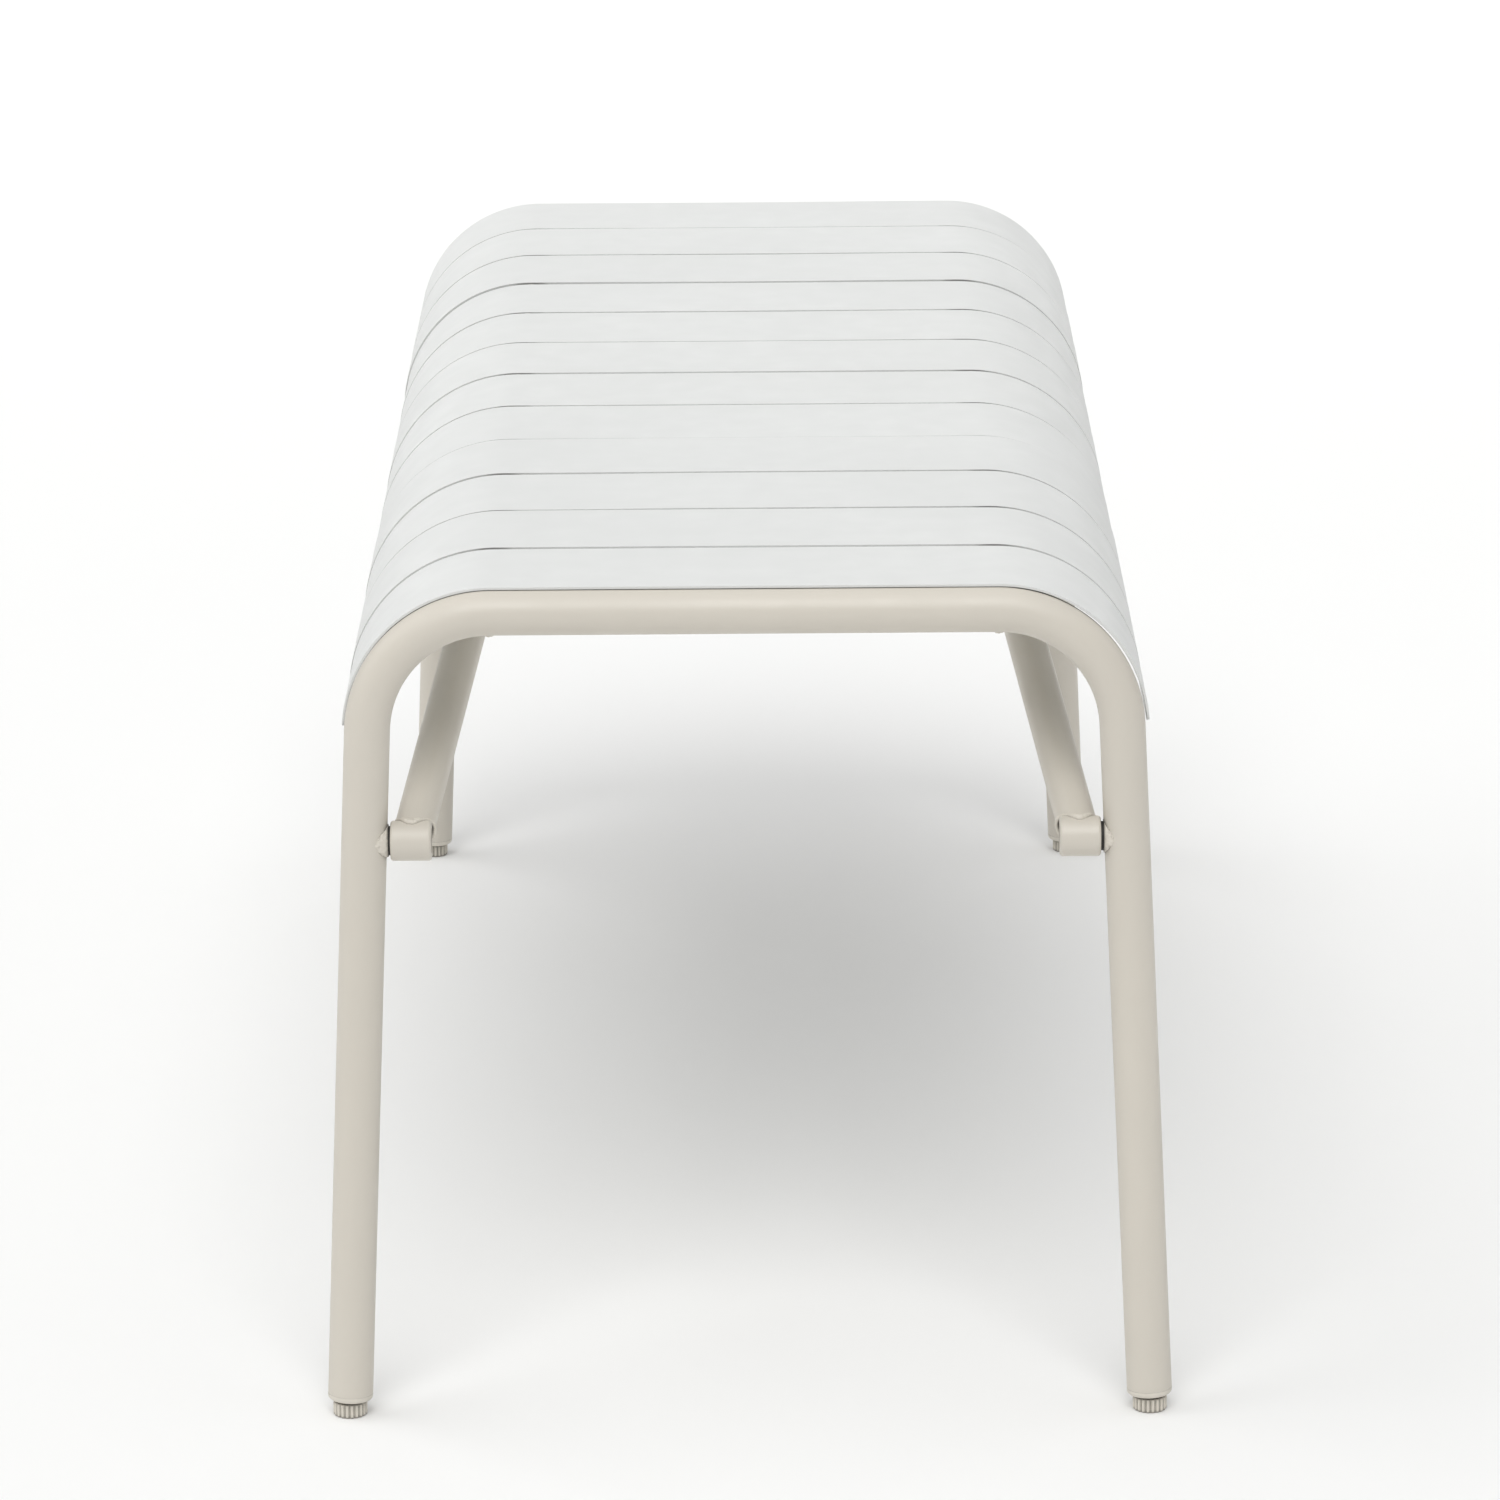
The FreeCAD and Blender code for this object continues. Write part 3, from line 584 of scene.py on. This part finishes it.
def add_slat(number):
    node = f"slat_{number:02d}"
    low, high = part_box(node)
    half_width = (high.y - low.y) / 2 - SLAT_DRIFT / 2
    centre_y = (low.y + high.y) / 2
    distances, tip = slat_stations()
    right = [slat_loop(number, centre_y, half_width, d, 1, tip) for d in distances]
    left = [slat_loop(number, centre_y, half_width, d, -1, tip) for d in reversed(distances[1:])]
    coat = front_slat_less_shaded if number == 1 else seat_coat
    bm = bmesh.new()
    add_loft(bm, left + right)
    slat = make_piece(bm, f"seat_{node}", "bench", coat, [node], sharp_degrees=60)
    flatten = slat.modifiers.new("flat_faces", "WEIGHTED_NORMAL")
    flatten.keep_sharp = True


# Welds -------------------------------------------------------------------------------

def resample(points, closed):
    """Evenly spaced points along a line, a bead's step apart."""
    line = points + [points[0]] if closed else points
    lengths = [0.0]
    for a, b in zip(line, line[1:]):
        lengths.append(lengths[-1] + (b - a).length)
    count = max(8, round(lengths[-1] / BEAD_STEP))
    spots = []
    segment = 0
    for i in range(count if closed else count + 1):
        want = lengths[-1] * i / count
        while segment < len(line) - 2 and lengths[segment + 1] < want:
            segment += 1
        share = (want - lengths[segment]) / (lengths[segment + 1] - lengths[segment])
        spots.append(line[segment].lerp(line[segment + 1], share))
    return spots, lengths[-1]


def add_bead(bm, points, radius, closed=True):
    """A rippled weld bead along a line."""
    spots, length = resample(points, closed)
    count = len(spots)
    loops = []
    for i, spot in enumerate(spots):
        before = spots[i - 1] if closed or i > 0 else spot
        after = spots[(i + 1) % count] if closed or i < count - 1 else spot
        direction = (after - before).normalized()
        upright = abs(direction.z) > 0.999
        across = (direction.orthogonal() if upright else direction.cross(UP)).normalized()
        beyond = direction.cross(across)
        travelled = length * i / count
        ripples = max(1, round(length / BEAD_PITCH))
        size = 1 + BEAD_RIPPLE * math.sin(2 * math.pi * ripples * travelled / length)
        if not closed:
            share = i / (count - 1)
            size *= max(0.12, math.sqrt(math.sin(math.pi * share)))
        loop = []
        for point in ring_points(spot, across, beyond, radius * size, radius * size, BEAD_SIDES):
            rough = noise.noise(point * ROUGH_PER_METRE) * BEAD_ROUGHNESS
            loop.append(spot + (point - spot) * (1 + rough))
        loops.append(loop)
    add_loft(bm, loops, closed)


def tube_meeting(centre, direction, radius, axis, other_radius, wide_radius=None, first=UP, count=96):
    """Where a tube, or an oval one, that sets off from another's axis comes out through its surface."""
    beyond = direction.cross(first).normalized()
    across = beyond.cross(direction)
    flat_direction = direction - axis * direction.dot(axis)
    a = flat_direction.length_squared
    points = []
    for point in ring_points(centre, across, beyond, radius, wide_radius or radius, count):
        offset = point - centre
        flat_offset = offset - axis * offset.dot(axis)
        b = flat_offset.dot(flat_direction)
        c = flat_offset.length_squared - other_radius ** 2
        travel = (-b + math.sqrt(max(0.0, b * b - a * c))) / a
        points.append(point + direction * travel)
    return points


def add_weld(name, points, radius, closed=True):
    bm = bmesh.new()
    add_bead(bm, points, radius, closed)
    make_piece(bm, name, "bench", weld_coat, sharp_degrees=75)


def add_bush_weld(end, side):
    """A rough fillet from the leg's surface to the bush's rim, hollow where the bush runs through."""
    sign = SIDE_SIGNS[side]
    drop = drop_at(centre_of(f"strut_sleeve_{end}_{side}").z)
    leg = frame_direction(end, sign * math.sin(LEG_SPLAY), math.cos(LEG_SPLAY))
    start = frame_point(end, sign * leg_x(drop), drop)
    inward = Vector((-sign, 0, 0))
    tall, wide = BUSH_FILLET[side]
    toe = tube_meeting(start, inward, tall, leg, TUBE_RADIUS, wide)
    rim_centre = start + inward * (TUBE_RADIUS + BUSH_FILLET_REACH[side])
    side_on = inward.cross(UP)
    radii = (BUSH_RADIUS + BUSH_FILLET_LIP, BUSH_BORE)
    rim, bore = [ring_points(rim_centre, UP, side_on, r, r, len(toe)) for r in radii]
    loops = [[point - inward * BUSH_FILLET_SINK for point in toe]]
    for step in range(BUSH_FILLET_STEPS + 1):
        share = step / BUSH_FILLET_STEPS
        loop = []
        for low, high in zip(toe, rim):
            spot = low.lerp(high, share)
            offset = spot - start
            outward = (offset - inward * offset.dot(inward)).normalized()
            swell = BUSH_FILLET_BULGE * math.sin(math.pi * share)
            fade = 1 - 0.8 * share
            lump = BUSH_FILLET_LUMPS * noise.noise(spot * LUMPS_PER_METRE) * fade
            loop.append(spot + outward * (swell + lump) + inward * (lump * (1 - share)))
        loops.append(loop)
    loops.append(bore)
    loops.append([point - inward * BUSH_FILLET_DEPTH for point in bore])
    bm = bmesh.new()
    add_loft(bm, loops, closed=True)
    make_piece(bm, f"bush_weld_{end}_{side}", "bench", weld_coat, sharp_degrees=60)


def add_strut_welds(end, side):
    """Beads where a strut's tube meets its sleeve and where it meets the rail."""
    start = centre_of(f"strut_sleeve_{end}_{side}")
    reach = -END_SIGNS[end] * STRUT_REACH
    finish = Vector((SIDE_SIGNS[side] * RAIL_OFFSET, start.y + reach, rail_axis))
    direction = (finish - start).normalized()
    foot = tube_meeting(start, direction, STRUT_RADIUS * 0.98, Vector((1, 0, 0)), SLEEVE_RADIUS)
    add_weld(f"strut_weld_{end}_{side}", foot, STRUT_BEAD)
    crest = foot[-STRUT_TOP_HALF:] + foot[:STRUT_TOP_HALF + 1]
    add_weld(f"strut_weld_top_{end}_{side}", crest, STRUT_TOP_BEAD, closed=False)
    top = tube_meeting(finish, -direction, STRUT_RADIUS, Vector((0, 1, 0)), RAIL_RADIUS)
    add_weld(f"rail_weld_{end}_{side}", top, RAIL_BEAD)


def add_rail_end_weld(end, side):
    """A bead round the rail's end where it meets the top bar, open at the top under the slat."""
    centre = frame_point(end, SIDE_SIGNS[side] * RAIL_OFFSET, 0)
    inward = Vector((0, -END_SIGNS[end], 0))
    points = tube_meeting(centre, inward, RAIL_RADIUS, Vector((1, 0, 0)), TUBE_RADIUS)
    margin = len(points) // 10
    add_weld(f"bar_weld_{end}_{side}", points[margin:-margin], RAIL_BEAD, closed=False)


def add_slat_tacks(side):
    """Short beads that hold every slat to both sides of a rail's top."""
    bm = bmesh.new()
    for number in range(1, SLAT_COUNT + 1):
        middle = centre_of(f"slat_{number:02d}").y
        for edge in (-1, 1):
            x = SIDE_SIGNS[side] * RAIL_OFFSET + edge * TACK_OFFSET
            ends = (middle - TACK_LENGTH / 2, middle + TACK_LENGTH / 2)
            line = [Vector((x, y, seat_underside - TACK_DROP)) for y in ends]
            add_bead(bm, line, TACK_BEAD, closed=False)
    make_piece(bm, f"slat_tacks_{side}", "bench", weld_coat, sharp_degrees=75)


# Feet --------------------------------------------------------------------------------

def add_pad(end, side):
    """A foot's pad: fluted rim, eased top and bottom, a shallow recess below and its stud's socket."""
    node = f"foot_pad_{end}_{side}"
    low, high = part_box(node)
    centre = (low + high) / 2
    radius = (high.x - low.x) / 2
    height = high.z - low.z
    count = PAD_FLUTES * FLUTE_STEPS

    def loop(ring_radius, z, flute=0.0):
        points = []
        for i in range(count):
            turn = 2 * math.pi * i / count
            groove = (0.5 + 0.5 * math.cos(PAD_FLUTES * turn)) ** FLUTE_SHARPNESS
            reach = ring_radius - FLUTE_DEPTH * flute * groove
            x = centre.x + reach * math.cos(turn)
            y = centre.y + reach * math.sin(turn)
            points.append(Vector((x, y, low.z + z)))
        return points

    loops = [loop(radius * 0.62, 0.6 * MM), loop(radius * 0.68, 0.0)]
    for i in range(7):
        turn = math.pi / 2 * i / 6
        edge = radius - PAD_RIM * (1 - math.sin(turn))
        loops.append(loop(edge, PAD_RIM * (1 - math.cos(turn)), math.sin(turn)))
    loops.append(loop(radius, height - 0.7 * MM, 1.0))
    loops.append(loop(radius - 0.25 * MM, height - 0.2 * MM, 1.0))
    loops.append(loop(radius - 0.8 * MM, height, 0.9))
    loops.append(loop(PAD_SOCKET + 0.3 * MM, height))
    loops.append(loop(PAD_SOCKET, height - 0.3 * MM))
    loops.append(loop(PAD_SOCKET, height - PAD_SOCKET_DEPTH))
    bm = bmesh.new()
    add_loft(bm, loops)
    name = f"fluted_pad_{end}_{side}"
    make_piece(bm, name, f"pad_{end}_{side}", foot_plastic, [node], sharp_degrees=50)


# Studio ------------------------------------------------------------------------------

FLOOR_HALF = 20.0


def add_floor():
    bm = bmesh.new()
    corners = [(x * FLOOR_HALF, y * FLOOR_HALF, 0) for x, y in ((-1, -1), (1, -1), (1, 1), (-1, 1))]
    bm.faces.new([bm.verts.new(corner) for corner in corners])
    mesh = bpy.data.meshes.new("floor")
    bm.to_mesh(mesh)
    bm.free()
    mesh.materials.append(pale_floor())
    floor = bpy.data.objects.new("floor", mesh)
    bpy.context.scene.collection.objects.link(floor)


def add_soft_light(name, elevation, azimuth, spread, strength, colour):
    """A large far-off light. Azimuth turns from the front end towards the right side."""
    light = bpy.data.lights.new(name, "SUN")
    light.angle = math.radians(spread)
    light.energy = strength
    light.color = colour
    lift, turn = math.radians(elevation), math.radians(azimuth)
    level = Vector((math.sin(turn), -math.cos(turn), 0))
    towards = level * math.cos(lift) + UP * math.sin(lift)
    holder = bpy.data.objects.new(name, light)
    holder.rotation_euler = towards.to_track_quat("Z", "Y").to_euler()
    bpy.context.scene.collection.objects.link(holder)


def add_backdrop_light():
    """A wide bright panel far behind the bench, which the satin coat reflects at shallow angles."""
    light = bpy.data.lights.new("backdrop", "AREA")
    light.shape = "RECTANGLE"
    light.size = 7.0
    light.size_y = 3.6
    light.energy = 70
    panel = bpy.data.objects.new("backdrop", light)
    panel.location = (0, 6.5, 1.9)
    panel.rotation_euler = (math.radians(90), 0, math.radians(180))
    panel.visible_camera = False
    bpy.context.scene.collection.objects.link(panel)


def add_lights():
    world = bpy.data.worlds.new("studio")
    world.use_nodes = True
    background = world.node_tree.nodes["Background"]
    background.inputs["Color"].default_value = (1.0, 1.0, 1.0, 1)
    background.inputs["Strength"].default_value = 0.27
    bpy.context.scene.world = world
    add_soft_light("key", 50, -4, 40, 1.57, (1.0, 0.998, 0.99))
    add_soft_light("left", 40, -95, 60, 0.84, (1.0, 1.0, 0.995))
    add_soft_light("right", 42, 95, 60, 0.26, (0.99, 0.995, 1.0))
    add_soft_light("top", 88, 180, 60, 0.52, (0.99, 1.0, 1.0))
    add_backdrop_light()


def add_camera():
    """The camera stands at the front end, a little above the seat, and looks down the bench."""
    pitch, yaw, roll = 0.27459, -0.00217, 0.00778
    ahead = Vector((math.sin(yaw), math.cos(yaw), 0))
    forward = ahead * math.cos(pitch) - UP * math.sin(pitch)
    level = Vector((math.cos(yaw), -math.sin(yaw), 0))
    down = forward.cross(level)
    right = level * math.cos(roll) + down * math.sin(roll)
    lower = down * math.cos(roll) - level * math.sin(roll)
    lens = bpy.data.cameras.new("camera")
    lens.sensor_width = 36
    lens.lens = 171.33
    lens.clip_end = 100
    camera = bpy.data.objects.new("camera", lens)
    columns = Matrix((right, -lower, -forward)).transposed().to_4x4()
    camera.matrix_world = Matrix.Translation((0.01086, -4.25813, 1.42693)) @ columns
    bpy.context.scene.collection.objects.link(camera)
    bpy.context.scene.camera = camera


# Assembly ----------------------------------------------------------------------------

dress_cad_nodes()
for end_name in END_SIGNS:
    add_end_frame(end_name)
    for side_name in SIDE_SIGNS:
        add_bush_weld(end_name, side_name)
        add_strut_welds(end_name, side_name)
        add_rail_end_weld(end_name, side_name)
        add_pad(end_name, side_name)
for slat_number in range(1, SLAT_COUNT + 1):
    add_slat(slat_number)
for side_name in SIDE_SIGNS:
    add_slat_tacks(side_name)
add_floor()
add_lights()
add_camera()
bpy.context.scene.view_settings.view_transform = "Standard"
